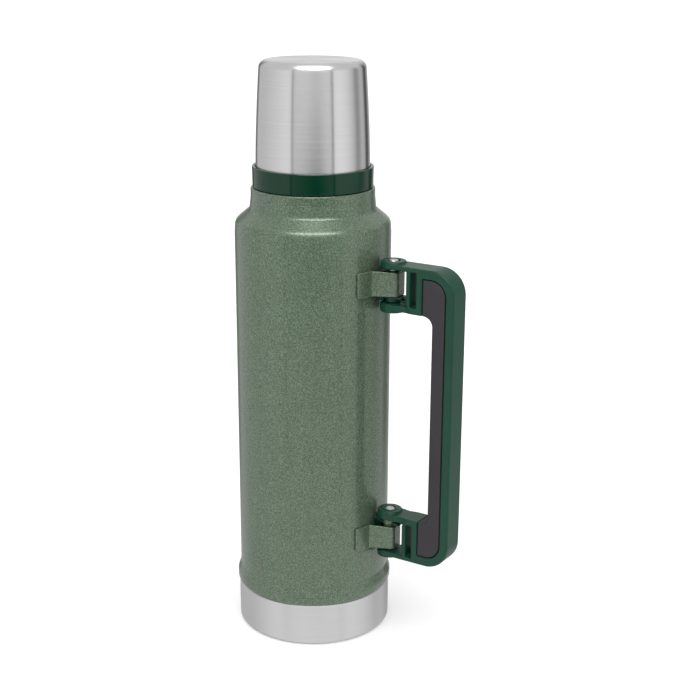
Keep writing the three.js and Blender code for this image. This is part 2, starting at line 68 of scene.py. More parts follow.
# ---- dimensions, mostly read from the frame ----
# A value named _R is a radius, _T a thickness, _W a width, _Z a height above the floor and _H a
# height from the handle's middle.
FIT = 0.3  # gap that the CAD keeps between pieces
BODY_R = 48.7
WALL = 0.8
BODY_TOP_Z = 262.0  # the painted wall's shoulder and neck
SHOULDER_R = 48.25
SHOULDER_TOP_R = 39.25
NECK_R = 38.45
FLARE_R = high("outer_shell", X)
SHELL_LOW_Z = low("outer_shell", Z)
BASE_R = high("base_cup", X)
BASE_TOP_Z = high("base_cup", Z)
MOUTH_TOP_Z = high("inner_vessel", Z)
INNER_LOW_Z = low("inner_vessel", Z)
INNER_R = 44.0
MOUTH_R = 29.2
MOUTH_WALL = 1.4
SEAT_R = 26.0
SEAT_Z = 283.5

LEAD = 15.0  # the threads: three starts, right-handed
STARTS = 3
THREAD_Z = 297.5
RIDGE_H = 1.3
RIDGE_HALF_W = 0.75

CUP_TOP_Z = high("cup_shell", Z)
CUP_LOW_Z = low("cup_liner", Z)
COLLAR_R = high("cup_liner", X)
COLLAR_TOP_Z = 302.5
CUP_LOW_R = 35.2
CUP_TOP_R = 32.7
CUP_TAPER_H = 57.5  # above the collar, where the wall reaches its top radius
CUP_EDGE_R = 5.0
CUP_SHELL_T = 0.7
CUP_BORE_R = 32.6

STEM_R = 21.7
STOPPER_R = 27.2
STOPPER_HEAD_R = 30.4
STOPPER_TOP_Z = high("stopper_body", Z)
STOPPER_CAP_R = 28.0

PIN_R = 3.0
PIN_X = high("upper_hinge_pin", X) - PIN_R
HANDLE_OUT_X = high("handle_frame", X)
HANDLE_HALF_T = high("handle_frame", Y)
HANDLE_MID_Z = (low("handle_frame", Z) + high("handle_frame", Z)) / 2
KNUCKLE_TOP_H = high("handle_frame", Z) - HANDLE_MID_Z
HANDLE_HALF_H = 95.5
HANDLE_CORNER_R = 16.0
RIM_W = 5.8
PILLAR_X = 78.0
PILLAR_W = 4.4
GRIP_IN_X = 89.6
ARM_IN_H = 66.9
FORK_OUT_H = 92.6
FORK_IN_H = 70.9
KNUCKLE_LOW_H = 64.9
FLEX_BAR_X = 71.2
FLEX_BAR_W = 2.9
WAIST_X = 69.5  # where each inner arm of the fork narrows
WAIST_Y = 16.0
WAIST_R = 9.0
RECESS_W = 1.1  # round the pins' ends
RECESS_H = 0.8
NOSE_IN_X = 64.2  # the flexing bars' noses, between the fork's inner arm and the strap
NOSE_HALF_W = 2.6
NOSE_LOW_H = 71.7
NOSE_TOP_H = 73.1
PLATE_OUT_X = 66.6  # the ribbed blocks' plates
PLATE_HALF_W = 3.7
PLATE_LOW_H = 73.3
PLATE_TOP_H = 75.25
EDGE_R = 1.1  # rounding of the handle's moulded edges
GROOVE = 0.4  # between the grip insert and the frame

STRAP_T = 1.45
STRAP_BEND = 3.0
STRAP_HALF_W = 5.85
STRAP_END_HALF_H = 7.4
STRAP_TIP_R = 1.8
STRAP_BEVEL = 0.5
FLANGE_BEND_Y = 11.5
FLANGE_FILLET = 2.0


# ---- outlines ----
def rounded(outline, closed=True, step=math.radians(9)):
    """The points of an outline of corners (u, v) or (u, v, radius), with an arc at each radius."""
    points = []
    for i, (u, v, *radius) in enumerate(outline):
        here = np.array((u, v), float)
        if not radius or (not closed and i in (0, len(outline) - 1)):
            points.append(here)
            continue
        before = np.array(outline[i - 1][:2]) - here
        after = np.array(outline[(i + 1) % len(outline)][:2]) - here
        before, after = before / np.hypot(*before), after / np.hypot(*after)
        half = math.acos(np.clip(before @ after, -1, 1)) / 2
        middle = before + after
        centre = here + middle / np.hypot(*middle) * radius[0] / math.sin(half)
        start = here + before * radius[0] / math.tan(half) - centre
        end = here + after * radius[0] / math.tan(half) - centre
        first = math.atan2(start[1], start[0])
        sweep = (math.atan2(end[1], end[0]) - first + math.pi) % math.tau - math.pi
        count = max(3, math.ceil(abs(sweep) / step))
        angles = first + sweep * np.arange(count + 1) / count
        points += [centre + radius[0] * np.array((math.cos(a), math.sin(a))) for a in angles]
    return [tuple(p) for p in points]


def spaced(start, end, gap):
    """Points of a straight stretch of an outline, no further apart than gap, both ends included."""
    start, end = np.array(start, float), np.array(end, float)
    count = max(1, math.ceil(np.hypot(*(end - start)) / gap))
    return [tuple(start + (end - start) * i / count) for i in range(count + 1)]


# ---- meshes ----
def make_object(name, mesh):
    for polygon in mesh.polygons:
        polygon.use_smooth = True
    made = bpy.data.objects.new(name, mesh)
    bpy.context.scene.collection.objects.link(made)
    return made


def from_bmesh(name, bm):
    bmesh.ops.recalc_face_normals(bm, faces=bm.faces)
    bmesh.ops.scale(bm, vec=(MM, MM, MM), verts=bm.verts)
    mesh = bpy.data.meshes.new(name)
    bm.to_mesh(mesh)
    bm.free()
    return make_object(name, mesh)


def lathe(name, profile, sides=192, centre=(0, 0), shape=None):
    """A solid of revolution about a vertical line. The profile (radius, z) goes up the outside and
    down the inside. shape(angle, radius, z) gives a changed radius, for threads and grips."""
    bm = bmesh.new()
    angles = math.tau * np.arange(sides) / sides
    rings = []
    for r, z in profile:
        if r < 1e-6:
            rings.append([bm.verts.new((*centre, z))])
            continue
        radii = shape(angles, r, z) if shape else np.full(sides, r)
        rings.append([
            bm.verts.new((centre[0] + q * math.cos(a), centre[1] + q * math.sin(a), z))
            for q, a in zip(radii, angles)
        ])
    open_ended = len(rings[0]) == 1 and len(rings[-1]) == 1
    for a, b in zip(rings, rings[1:] if open_ended else rings[1:] + rings[:1]):
        if len(a) == len(b) == 1:
            continue
        for i in range(sides):
            j = (i + 1) % sides
            around = (a[i % len(a)], a[j % len(a)], b[j % len(b)], b[i % len(b)])
            bm.faces.new(list(dict.fromkeys(around)))
    return weighted(from_bmesh(name, bm))


def weighted(piece):
    """Shades flat faces flat and fillets round."""
    modifier = piece.modifiers.new("weighted_normals", "WEIGHTED_NORMAL")
    modifier.weight = 100
    modifier.keep_sharp = True
    return piece


def smooth_step(value):
    value = np.clip(value, 0, 1)
    return value * value * (3 - 2 * value)


def thread(angles, z, start_deg, sweep_deg, start_z):
    """How far the thread's ridges stand out of the wall at each angle, from 0 to RIDGE_H."""
    out = np.zeros_like(angles)
    for k in range(STARTS):
        turned = (np.degrees(angles) - start_deg - 360 * k / STARTS) % 360
        along = turned / sweep_deg
        away = np.abs(z - start_z - LEAD * turned / 360)
        ridge = smooth_step((RIDGE_HALF_W + 0.35 - away) / 0.7)
        ends = smooth_step(along * 7) * smooth_step((1 - along) * 7)
        out = np.maximum(out, np.where(along < 1, RIDGE_H * ridge * ends, 0))
    return out


def surface(name, corner_low, corner_high, cell, field):
    """The closed surface where a distance field is zero, as quads (surface nets), moved onto it."""
    corner_low = np.array(corner_low, float) - 2 * cell
    counts = np.ceil((np.array(corner_high) + 2 * cell - corner_low) / cell).astype(int) + 1
    axes = [corner_low[i] + cell * np.arange(counts[i]) for i in range(3)]
    grid = np.stack(np.meshgrid(*axes, indexing="ij"), -1)
    distance = field(grid)
    strides = np.array((counts[1] * counts[2], counts[2], 1))
    cells, places, quads = [], [], []
    for axis in range(3):
        moved = np.moveaxis(distance, axis, 0)
        a, b = moved[:-1], moved[1:]
        found = np.argwhere((a < 0) != (b < 0))
        inner = tuple(found.T)
        share = a[inner] / (a[inner] - b[inner])
        outward = a[inner] < 0
        edge = np.empty_like(found)
        others = [i for i in range(3) if i != axis]
        edge[:, axis] = found[:, 0]
        edge[:, others[0]] = found[:, 1]
        edge[:, others[1]] = found[:, 2]
        place = edge.astype(float)
        place[:, axis] += share
        u, v = np.eye(3, dtype=int)[(axis + 1) % 3], np.eye(3, dtype=int)[(axis + 2) % 3]
        around = np.stack([(edge - step) @ strides for step in (u + v, v, 0 * u, u)], 1)
        cells.append(around.ravel())
        places.append(np.repeat(place, 4, 0))
        quads.append(np.where(outward[:, None], around, around[:, ::-1]))
    ids, where = np.unique(np.concatenate(cells), return_inverse=True)
    hits = np.bincount(where)
    placed = np.concatenate(places)
    points = np.stack([np.bincount(where, placed[:, i]) / hits for i in range(3)], 1)
    points = corner_low + cell * points
    for _ in range(3):
        gap = field(points)
        slope = np.stack([
            field(points + step) - field(points - step) for step in 0.02 * np.eye(3)
        ], 1) / 0.04
        steep = np.maximum((slope ** 2).sum(1), 0.25)
        points -= np.clip(gap / steep, -cell / 2, cell / 2)[:, None] * slope
    faces = np.searchsorted(ids, np.concatenate(quads))
    mesh = bpy.data.meshes.new(name)
    mesh.from_pydata((points * MM).tolist(), [], faces.tolist())
    return make_object(name, mesh)


# ---- distance fields ----
def soft_min(a, b, k):
    h = np.clip(0.5 + 0.5 * (b - a) / k, 0, 1)
    return b + (a - b) * h - k * h * (1 - h)


def soft_max(a, b, k):
    return -soft_min(-a, -b, k)


def both(a, b, radius):
    """The part inside both fields, with its edge rounded."""
    a, b = a + radius, b + radius
    return np.hypot(np.maximum(a, 0), np.maximum(b, 0)) + np.minimum(np.maximum(a, b), 0) - radius


def rectangle(u, v, low_u, high_u, low_v, high_v, radius=0.0):
    du = np.abs(u - (low_u + high_u) / 2) - (high_u - low_u) / 2 + radius
    dv = np.abs(v - (low_v + high_v) / 2) - (high_v - low_v) / 2 + radius
    outside = np.hypot(np.maximum(du, 0), np.maximum(dv, 0))
    return outside + np.minimum(np.maximum(du, dv), 0) - radius


# ---- node materials ----
def add(tree, kind, inputs=None, **settings):
    """Adds a shader node. Each input is a number, a colour or another node's output."""
    node = tree.nodes.new(kind)
    for key, value in settings.items():
        setattr(node, key, value)
    for key, value in (inputs or {}).items():
        if isinstance(value, bpy.types.NodeSocket):
            tree.links.new(value, node.inputs[key])
        else:
            node.inputs[key].default_value = value
    return node


def new_material(name):
    made = bpy.data.materials.new(name)
    made.use_nodes = True
    made.node_tree.nodes.clear()
    return made, made.node_tree


def close(tree, **inputs):
    """Ends a material with the Principled shader. Input names use _ for a space."""
    named = {key.replace("_", " "): value for key, value in inputs.items()}
    shader = add(tree, "ShaderNodeBsdfPrincipled", named)
    add(tree, "ShaderNodeOutputMaterial", {"Surface": shader.outputs["BSDF"]})


def noise(tree, place, scale, detail=2.0, rough=0.5):
    node = add(tree, "ShaderNodeTexNoise",
               {"Vector": place, "Scale": scale, "Detail": detail, "Roughness": rough})
    return node.outputs["Fac"]


def ramp(tree, value, *stops):
    """A colour ramp of (position, grey or colour) stops."""
    node = add(tree, "ShaderNodeValToRGB", {"Fac": value})
    elements = node.color_ramp.elements
    while len(elements) < len(stops):
        elements.new(0.5)
    for element, (position, colour) in zip(elements, stops):
        element.position = position
        element.color = (*colour, 1) if isinstance(colour, tuple) else (colour, colour, colour, 1)
    return node.outputs["Color"]


def spread(tree, value, lowest, highest):
    """A value from 0 to 1 taken to the range from lowest to highest."""
    return add(tree, "ShaderNodeMapRange",
               {"Value": value, "To Min": lowest, "To Max": highest}).outputs["Result"]


def bump(tree, height, strength, depth):
    """depth is in millimetres."""
    return add(tree, "ShaderNodeBump", {
        "Height": height, "Strength": strength, "Distance": depth * MM}).outputs["Normal"]


def mix(tree, share, a, b, blend="MIX"):
    node = add(tree, "ShaderNodeMix", data_type="RGBA", blend_type=blend)
    colours = [s for s in node.inputs if s.type == "RGBA"]
    for socket, value in ((node.inputs[0], share), (colours[0], a), (colours[1], b)):
        if isinstance(value, bpy.types.NodeSocket):
            tree.links.new(value, socket)
        else:
            socket.default_value = (*value, 1) if isinstance(value, tuple) else value
    return next(s for s in node.outputs if s.type == "RGBA")


def object_place(tree):
    return add(tree, "ShaderNodeTexCoord").outputs["Object"]


def hammertone():
    """Baked metallic paint: light and dark flecks over a pebbled surface."""
    made, tree = new_material("hammertone_paint")
    place = object_place(tree)
    flecks = noise(tree, place, 1300, 2, 0.6)
    pebbles = noise(tree, place, 620, 2, 0.5)
    clouds = noise(tree, place, 45, 3, 0.6)
    fleck_colour = ramp(tree, flecks,
                        (0.34, (0.044, 0.080, 0.042)), (0.50, (0.090, 0.137, 0.085)),
                        (0.66, (0.160, 0.220, 0.152)))
    shade = ramp(tree, clouds, (0.3, 0.89), (0.7, 0.97))
    colour = mix(tree, 1.0, fleck_colour, shade, "MULTIPLY")
    height = mix(tree, 0.5, pebbles, flecks)
    close(tree, Base_Color=colour, Metallic=0.45, Roughness=spread(tree, flecks, 0.34, 0.46),
          Normal=bump(tree, height, 0.55, 0.20), Coat_Weight=0.65, Coat_Roughness=0.12)
    return made


def brushed(name, colour, roughness, streak):
    """Steel brushed round the axis, so its reflections run up and down."""
    made, tree = new_material(name)
    place = object_place(tree)
    parts = add(tree, "ShaderNodeSeparateXYZ", {"Vector": place})
    flat = add(tree, "ShaderNodeCombineXYZ", {"X": parts.outputs["X"], "Y": parts.outputs["Y"]})
    reach = add(tree, "ShaderNodeVectorMath", {0: flat.outputs[0]}, operation="LENGTH")
    along = add(tree, "ShaderNodeMath", {0: parts.outputs["Z"], 1: reach.outputs["Value"]},
                operation="ADD")
    line = add(tree, "ShaderNodeCombineXYZ", {
        "X": parts.outputs["X"], "Y": parts.outputs["Y"], "Z": along.outputs[0]})
    drawn = add(tree, "ShaderNodeVectorMath", {0: line.outputs[0], 1: (22, 22, 3200)},
                operation="MULTIPLY")
    lines = noise(tree, drawn.outputs[0], 1.0, 3, 0.6)
    smears = noise(tree, place, 60, 2)
    tone = ramp(tree, lines, (0.25, tuple(c * (1 - streak) for c in colour)), (0.75, colour))
    rough = add(tree, "ShaderNodeMath", {
        0: spread(tree, lines, roughness - 0.05, roughness + 0.05),
        1: spread(tree, smears, -0.02, 0.02)}, operation="ADD")
    tangent = add(tree, "ShaderNodeTangent", direction_type="RADIAL", axis="Z")
    close(tree, Base_Color=tone, Metallic=1.0, Roughness=rough.outputs[0], Anisotropic=0.75,
          Anisotropic_Rotation=0.25, Tangent=tangent.outputs[0], Normal=bump(tree, lines, 0.12, 0.03))
    return made


def moulded(name, dark, light, roughness, grain, grain_size=900, depth=0.04, **more):
    """Moulded plastic or rubber: a fine grain, with slow changes of tone and gloss."""
    made, tree = new_material(name)
    place = object_place(tree)
    fine = noise(tree, place, grain_size, 3, 0.6)
    slow = noise(tree, place, 55, 3, 0.55)
    colour = ramp(tree, mix(tree, 0.4, slow, fine), (0.3, dark), (0.7, light))
    close(tree, Base_Color=colour, Roughness=spread(tree, slow, roughness - 0.04, roughness + 0.05),
          Normal=bump(tree, fine, grain, depth), **more)
    return made


MATERIALS = {
    "hammertone_paint": hammertone(),
    "brushed_base": brushed("brushed_base", (0.65, 0.65, 0.65), 0.36, 0.10),
    "brushed_cup": brushed("brushed_cup", (0.66, 0.66, 0.66), 0.22, 0.09),
    "inner_steel": brushed("inner_steel", (0.56, 0.56, 0.57), 0.28, 0.10),
    "pin_steel": brushed("pin_steel", (0.64, 0.62, 0.62), 0.30, 0.08),
    "green_plastic": moulded("green_plastic", (0.0003, 0.022, 0.0100), (0.0004, 0.027, 0.0125),
                             0.10, 0.04, 500, Specular_IOR_Level=0.3),
    "handle_plastic": moulded("handle_plastic", (0.002, 0.038, 0.020), (0.004, 0.046, 0.026),
                              0.34, 0.10, Specular_IOR_Level=0.28),
    "black_plastic": moulded("black_plastic", (0.010, 0.011, 0.011), (0.014, 0.015, 0.015),
                             0.38, 0.10),
    "grip_rubber": moulded("grip_rubber", (0.017, 0.014, 0.017), (0.024, 0.020, 0.024),
                           0.66, 0.25, 1100, 0.06),
    "silicone": moulded("silicone", (0.60, 0.60, 0.57), (0.68, 0.68, 0.65), 0.5, 0.08,
                        Subsurface_Weight=0.2, Subsurface_Scale=0.002),
    "foam": moulded("foam", (0.66, 0.58, 0.38), (0.80, 0.73, 0.52), 0.9, 0.5, 700, 0.3),
}


def place(piece, body, slot, *nodes):
    """Gives a piece its material and body, and hides the CAD nodes that it stands for."""
    piece.data.materials.append(MATERIALS[slot])
    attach(piece, body)
    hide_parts(*nodes)


# ---- vessel ----
def painted_shell():
    inner = BODY_R - WALL
    mouth_gap = MOUTH_R + MOUTH_WALL + FIT
    top_z = CUP_LOW_Z - FIT
    profile = rounded([
        (inner, SHELL_LOW_Z, 0.15),
        (FLARE_R - 0.75, SHELL_LOW_Z, 0.3),
        (FLARE_R, SHELL_LOW_Z + 1.6, 1.0),
        (FLARE_R, SHELL_LOW_Z + 5.6, 3.0),
        (BODY_R + 0.03, SHELL_LOW_Z + 11.2, 3.0),
        (BODY_R + 0.03, BODY_TOP_Z, 30),
        (SHOULDER_R, 269.06, 5.6),
        (SHOULDER_TOP_R, 276.6, 3.6),
        (NECK_R + 0.05, 284.0, 20),
        (NECK_R, top_z, 0.8),
        (mouth_gap, top_z, 0.15),
        (mouth_gap, top_z - WALL, 0.15),
        (NECK_R - WALL, top_z - WALL - 0.2, 0.3),
        (SHOULDER_TOP_R - WALL, 276.0, 1.0),
        (SHOULDER_R - WALL, 268.4, 4.0),
        (inner, BODY_TOP_Z, 20),
    ])
    return lathe("painted_shell", profile, 256)


def foot():
    return lathe("brushed_foot", rounded([
        (0, 0.3),
        (30, 0.3, 0.6),
        (31, 1.2, 0.6),
        (38, 1.2, 0.6),
        (39, 0, 0.6),
        (BASE_R - 0.1, 0, 2.3),
        (BASE_R, 14.0, 100),
        (BASE_R - 0.1, BASE_TOP_Z, 0.35),
        (BODY_R - 1.6, BASE_TOP_Z, 0.1),
        (BODY_R - 1.6, 4.0, 2.0),
        (0, 3.0),
    ], closed=False), 256)


def vacuum_bottom():
    skirt = BODY_R - WALL - 2 * FIT - 0.1
    return lathe("vacuum_bottom_dish", rounded([
        (0, 6), (skirt - 4, 4, 6), (skirt, 8, 2), (skirt, SHELL_LOW_Z + 10, 0.3),
        (skirt - 1, SHELL_LOW_Z + 10, 0.3), (skirt - 1, 8.4, 1.5), (skirt - 4.2, 5, 5), (0, 7),
    ], closed=False))


def vessel_neck_and_lining():
    bore = INNER_R - WALL
    neck_r = MOUTH_R + MOUTH_WALL
    thread_low, thread_high = THREAD_Z - 2, THREAD_Z + 9
    outside = rounded([
        (0, INNER_LOW_Z), (INNER_R - 10, INNER_LOW_Z, 8), (INNER_R, INNER_LOW_Z + 8, 5),
        (INNER_R, 250, 8), (29.5, 274, 5), (28.2, 279.5, 1), (neck_r, SEAT_Z, 1),
        (neck_r, thread_low),
    ], closed=False)
    bead = rounded([
        (neck_r, thread_high), (neck_r, MOUTH_TOP_Z - 2, 0.2), (neck_r + 0.3, MOUTH_TOP_Z - 1.3, 0.3),
        (neck_r + 0.3, MOUTH_TOP_Z - 0.4, 0.3), (neck_r - 0.2, MOUTH_TOP_Z, 0.5),
        (MOUTH_R, MOUTH_TOP_Z, 0.5), (MOUTH_R, thread_high),
    ], closed=False)
    inside = rounded([
        (MOUTH_R, thread_low), (MOUTH_R, SEAT_Z, 0.6), (SEAT_R, SEAT_Z, 0.4),
        (SEAT_R, 278, 2), (28.0, 274.0, 4), (bore, 249, 8), (bore, INNER_LOW_Z + 8.6, 4.5),
        (INNER_R - 10.4, INNER_LOW_Z + WALL, 8), (0, INNER_LOW_Z + WALL),
    ], closed=False)
    up = spaced((neck_r, thread_low), (neck_r, thread_high), 0.25)
    down = spaced((MOUTH_R, thread_high), (MOUTH_R, thread_low), 0.25)

    def threads(angles, r, z):
        if not thread_low < z < thread_high:
            return np.full_like(angles, r)
        if r > (MOUTH_R + neck_r) / 2:
            return r + thread(angles, z, 0, 150, THREAD_Z)
        return r - thread(angles, z, 20, 120, THREAD_Z)

    return lathe("mouth_and_inner_wall", outside + up[1:] + bead[1:] + down[1:] + inside[1:],
                 256, shape=threads)


def getter():
    top = high("getter", Z)
    under = low("getter", Z)
    return lathe("getter_button", rounded([
        (0, under), (5.4, under, 0.4), (6, top - 1, 0.4), (6, top, 0.2), (0, top)], closed=False), 64)


# ---- drinking cup ----
def cup_wall_r(z):
    return CUP_LOW_R - (CUP_LOW_R - CUP_TOP_R) * (max(0, z - COLLAR_TOP_Z) / CUP_TAPER_H) ** 1.5


def cup_steel():
    low_z = COLLAR_TOP_Z - 5
    edge = CUP_EDGE_R
    top_r = cup_wall_r(CUP_TOP_Z - edge)
    heights = np.linspace(low_z, CUP_TOP_Z - edge, 24)
    corner = [math.radians(a) for a in range(6, 85, 6)]
    inner_edge = edge - CUP_SHELL_T
    outer = [(cup_wall_r(z), z) for z in heights]
    outer += [(top_r - edge + edge * math.cos(a), CUP_TOP_Z - edge + edge * math.sin(a))
              for a in corner]
    top = [(top_r - edge, CUP_TOP_Z), (0, CUP_TOP_Z), (0, CUP_TOP_Z - CUP_SHELL_T),
           (top_r - edge, CUP_TOP_Z - CUP_SHELL_T)]
    inner = [(top_r - edge + inner_edge * math.cos(a), CUP_TOP_Z - edge + inner_edge * math.sin(a))
             for a in reversed(corner)]
    inner += [(cup_wall_r(z) - CUP_SHELL_T, z) for z in reversed(heights)]
    return lathe("cup_steel_wall", outer + top + inner, 256)


def cup_plastic():
    wall = 1.4
    skin = CUP_SHELL_T + FIT
    groove_r = CUP_LOW_R - skin
    top_z = CUP_TOP_Z - skin
    top_r = CUP_TOP_R - skin
    thread_low, thread_high = CUP_LOW_Z + 3, CUP_LOW_Z + 13
    collar = rounded([
        (CUP_BORE_R, CUP_LOW_Z, 0.6),
        (COLLAR_R - 0.15, CUP_LOW_Z, 0.5),
        (COLLAR_R - 0.1, CUP_LOW_Z + 6, 60),
        (COLLAR_R, COLLAR_TOP_Z, 0.45),
        (CUP_LOW_R + 0.35, COLLAR_TOP_Z, 0.2),
        (CUP_LOW_R + 0.35, COLLAR_TOP_Z - 5.4, 0.2),
        (groove_r, COLLAR_TOP_Z - 5.4, 0.2),
        (groove_r, COLLAR_TOP_Z + 6, 20),
        (top_r, top_z, 4),
        (0, top_z),
    ])
    inside = rounded([
        (0, top_z - wall), (top_r - wall, top_z - wall, 3), (groove_r - wall, COLLAR_TOP_Z + 10, 6),
        (CUP_BORE_R, COLLAR_TOP_Z + 4, 6), (CUP_BORE_R, thread_high),
    ], closed=False)
    down = spaced((CUP_BORE_R, thread_high), (CUP_BORE_R, thread_low), 0.25)

    def threads(angles, r, z):
        if r > CUP_BORE_R + 0.1 or not thread_low < z < thread_high:
            return np.full_like(angles, r)
        return r - thread(angles, z, 10, 110, THREAD_Z - LEAD / STARTS / 2)

    return lathe("cup_lining_and_collar", collar + inside + down[1:], 256, shape=threads)


# ---- stopper ----
def stopper_body():
    gasket_top = high("stopper_gasket", Z)
    under = low("stopper_body", Z)
    cavity_r = 25.2
    thread_low, thread_high = THREAD_Z - 5, THREAD_Z + 5
    grip_low = MOUTH_TOP_Z + 3.2
    flutes = 10
    lower = rounded([
        (0, under), (STEM_R + 1.5, under, 0.4), (STEM_R + 1.5, SEAT_Z + 0.1, 0.3),
        (STEM_R, SEAT_Z + 0.1, 0.2), (STEM_R, gasket_top + FIT, 0.2),
        (STOPPER_R, gasket_top + FIT, 0.5), (STOPPER_R, thread_low),
    ], closed=False)
    up = spaced((STOPPER_R, thread_low), (STOPPER_R, thread_high), 0.25)
    head = rounded([
        (STOPPER_R, thread_high), (STOPPER_R, MOUTH_TOP_Z + 0.6, 0.5),
        (STOPPER_HEAD_R, MOUTH_TOP_Z + 0.6, 0.6), (STOPPER_HEAD_R, grip_low),
    ], closed=False)
    grip = spaced((STOPPER_HEAD_R, grip_low), (STOPPER_HEAD_R, STOPPER_TOP_Z - 1.4), 0.4)
    top = rounded([
        (STOPPER_HEAD_R, STOPPER_TOP_Z - 1.4), (STOPPER_HEAD_R, STOPPER_TOP_Z, 1.2),
        (STOPPER_CAP_R, STOPPER_TOP_Z, 0.2), (STOPPER_CAP_R, STOPPER_TOP_Z - 3.8, 0.2),
        (cavity_r, STOPPER_TOP_Z - 3.8, 0.3), (cavity_r, SEAT_Z + 5.6, 1), (0, SEAT_Z + 5.6),
    ], closed=False)

    def shape(angles, r, z):
        if thread_low < z < thread_high and r > cavity_r + 1:
            return r + thread(angles, z, 20, 110, THREAD_Z - LEAD / STARTS / 2)
        if z > grip_low and r > STOPPER_CAP_R + 0.5:
            wave = np.cos(angles * flutes)
            depth = 1.05 * smooth_step(wave * 1.6) * smooth_step((z - grip_low) / 2.5)
            return r - depth * min(1, (r - STOPPER_CAP_R) / 1.5)
        return np.full_like(angles, r)

    profile = lower + up[1:] + head[1:] + grip[1:] + top[1:]
    return lathe("stopper_shell", profile, 320, shape=shape)


def stopper_cap():
    under = low("stopper_cap", Z)
    cap_top = high("stopper_cap", Z)
    button_r = 20.0
    return lathe("stopper_top_disc", rounded([
        (0, under), (STOPPER_CAP_R - FIT, under, 0.2), (STOPPER_CAP_R - FIT, STOPPER_TOP_Z, 0.4),
        (button_r + 2.4, STOPPER_TOP_Z, 0.4), (button_r + 1.6, STOPPER_TOP_Z - 0.8, 0.4),
        (button_r + 0.5, STOPPER_TOP_Z - 0.8, 0.4), (button_r - 1.0, cap_top - 0.5, 1.2),
        (button_r - 5.0, cap_top - 0.4, 3), (0, cap_top),
    ], closed=False))


def stopper_gasket():
    under, top = low("stopper_gasket", Z), high("stopper_gasket", Z)
    lip = high("stopper_gasket", X)
    bore = STEM_R + FIT
    return lathe("seal_ring", rounded([
        (bore, under, 0.2), (lip - 0.8, under, 0.5), (lip, under + 1.2, 0.6),
        (lip - 1.4, under + 1.7, 0.3), (lip - 0.6, top, 0.5), (bore, top, 0.2),
    ]))


# ---- hinges ----
def strap_centreline():
    """Half of the strap's middle line (x, y), from the tip of a flange to the middle of its end."""
    wall_r = BODY_R + FIT
    flange_r = wall_r + STRAP_T
    bend_x = math.sqrt((flange_r + FLANGE_FILLET) ** 2 - FLANGE_BEND_Y ** 2)
    bend_a = math.atan2(FLANGE_BEND_Y, bend_x)
    tip_a = math.asin(high("upper_bracket", Y) / flange_r)
    end_x = high("upper_bracket", X) - STRAP_BEND
    end_y = STRAP_HALF_W - STRAP_BEND
    apart = math.hypot(end_x - bend_x, FLANGE_BEND_Y - end_y)
    leg_a = math.atan2(FLANGE_BEND_Y - end_y, end_x - bend_x)
    leg_a -= math.asin((STRAP_BEND + FLANGE_FILLET) / apart)
    normal_a = math.pi / 2 - leg_a

    def arc(cx, cy, radius, first, last, count):
        return [(cx + radius * math.cos(a), cy + radius * math.sin(a))
                for a in np.linspace(first, last, count)]

    line = arc(0, 0, wall_r + STRAP_T / 2, tip_a, bend_a, 70)
    line += arc(bend_x, FLANGE_BEND_Y, FLANGE_FILLET + STRAP_T / 2,
                bend_a + math.pi, normal_a + math.pi, 10)[1:]
    line += arc(end_x, end_y, STRAP_BEND - STRAP_T / 2, normal_a, 0, 14)
    return line + [(end_x + STRAP_BEND - STRAP_T / 2, 0)]


def strap(name, node):
    half = strap_centreline()
    line = np.array(half + [(x, -y) for x, y in reversed(half[:-1])])
    steps = np.hypot(*np.diff(line, axis=0).T)
    run = np.concatenate([[0], np.cumsum(steps)])
    heading = np.gradient(line, run, axis=0)
    heading /= np.hypot(*heading.T)[:, None]
    mid = (low(node, Z) + high(node, Z)) / 2
    tall = (high(node, Z) - low(node, Z)) / 2
    half_t = STRAP_T / 2
    bm = bmesh.new()
    rings = []
    for (x, y), (tx, ty), s in zip(line, heading, run):
        share = np.clip((x - BODY_R - 1) / (line[:, 0].max() - BODY_R - 1), 0, 1)
        half_h = tall + (STRAP_END_HALF_H - tall) * share
        from_tip = min(s, run[-1] - s)
        if from_tip < STRAP_TIP_R:
            half_h -= STRAP_TIP_R - math.sqrt(STRAP_TIP_R ** 2 - (STRAP_TIP_R - from_tip) ** 2)
        on_wall = math.hypot(x, y) < BODY_R + FIT + STRAP_T
        under = half_t + (FIT if on_wall else 0)  # a flange lies on the wall, with no gap
        outer = half_t - max(0, STRAP_BEVEL - from_tip)
        section = rounded([(-under, -half_h, 0.2), (outer, -half_h, STRAP_BEVEL),
                           (outer, half_h, STRAP_BEVEL), (-under, half_h, 0.2)],
                          step=math.radians(35))
        rings.append([bm.verts.new((x - ty * u, y + tx * u, mid + v)) for u, v in section])
    for a, b in zip(rings, rings[1:]):
        for i in range(len(a)):
            j = (i + 1) % len(a)
            bm.faces.new((a[i], a[j], b[j], b[i]))
    bm.faces.new(rings[0])
    bm.faces.new(rings[-1])
    return weighted(from_bmesh(name, bm))


def sleeve(name, node):
    """The bush round the pin, with a wider rim where it stands out of the strap."""
    under, top = low(node, Z), high(node, Z)
    outer = high(node, X) - PIN_X
    rim_r = outer + 0.75
    rim_h = 3.9
    profile = [(PIN_R + FIT, 0, 0.3), (rim_r, 0, 0.7), (rim_r, rim_h, 0.5), (outer, rim_h, 0.2),
               (outer, top - under, 0.6), (PIN_R + FIT, top - under, 0.3)]
    if (under + top) / 2 > HANDLE_MID_Z:
        turned = [(r, under + h, fillet) for r, h, fillet in profile]
    else:
        turned = [(r, top - h, fillet) for r, h, fillet in reversed(profile)]
    return lathe(name, rounded(turned), 96, centre=(PIN_X, 0))


